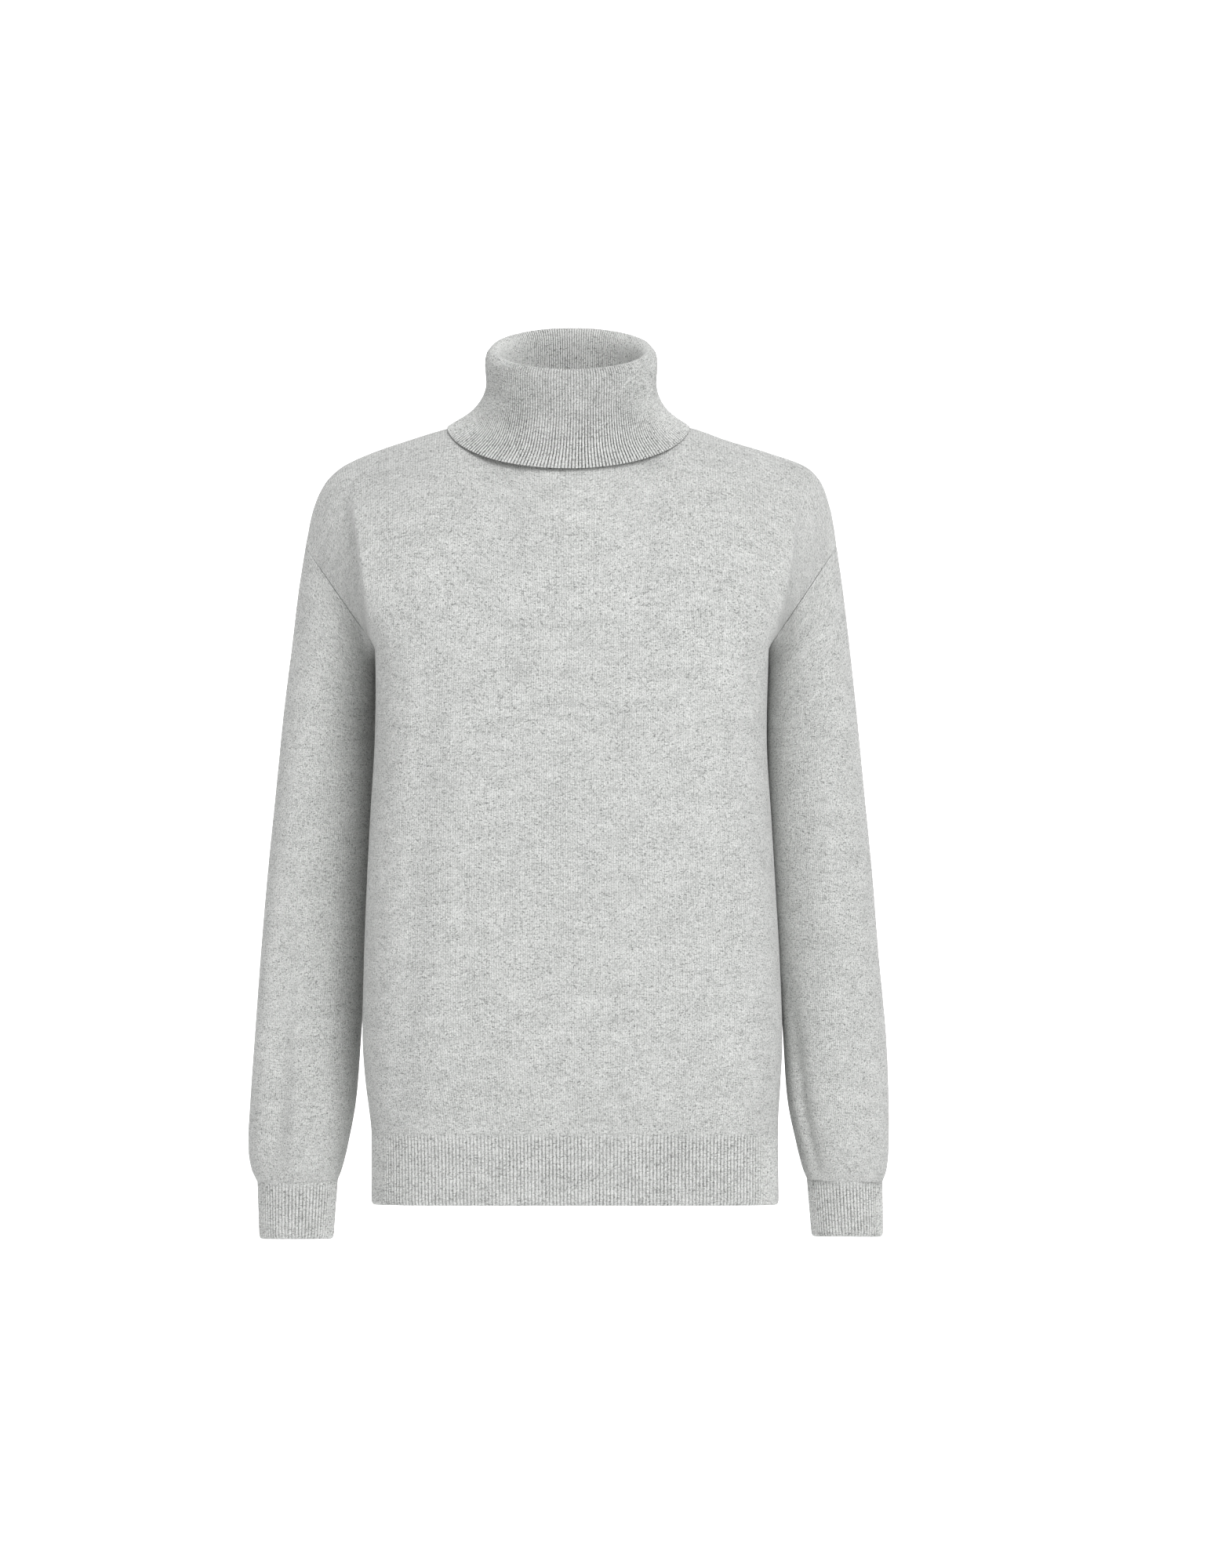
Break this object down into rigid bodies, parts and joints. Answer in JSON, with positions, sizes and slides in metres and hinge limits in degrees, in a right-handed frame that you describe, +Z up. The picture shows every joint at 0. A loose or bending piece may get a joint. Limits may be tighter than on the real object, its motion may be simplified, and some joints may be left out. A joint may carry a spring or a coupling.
{
  "type": "turtleneck sweater",
  "caption": "Fine-knit pullover filled out as if worn, with a folded roll collar, dropped shoulders, long sleeves and ribbed hem and cuffs; open at neck, hem and cuffs.",
  "frame": {"origin": "midway between the shoulders, level with the place where the collar's free edge crosses the shoulder line, where the wearer's shoulders carry it", "axes": "+Z up, front of the garment towards -Y, +X towards the wearer's left"},
  "size_m": [0.5232, 0.244, 0.752],
  "materials": {
    "jersey_knit": "light grey melange wool jersey, soft and matt",
    "rib_knit": "light grey melange 1x1 wool rib, soft and matt"
  },
  "bodies": {
    "root": {"front": "jersey_knit", "back": "jersey_knit", "left_sleeve": "jersey_knit", "right_sleeve": "jersey_knit", "collar": "rib_knit", "front_hem_rib": "rib_knit", "back_hem_rib": "rib_knit", "left_cuff": "rib_knit", "right_cuff": "rib_knit"}
  },
  "joints": []
}
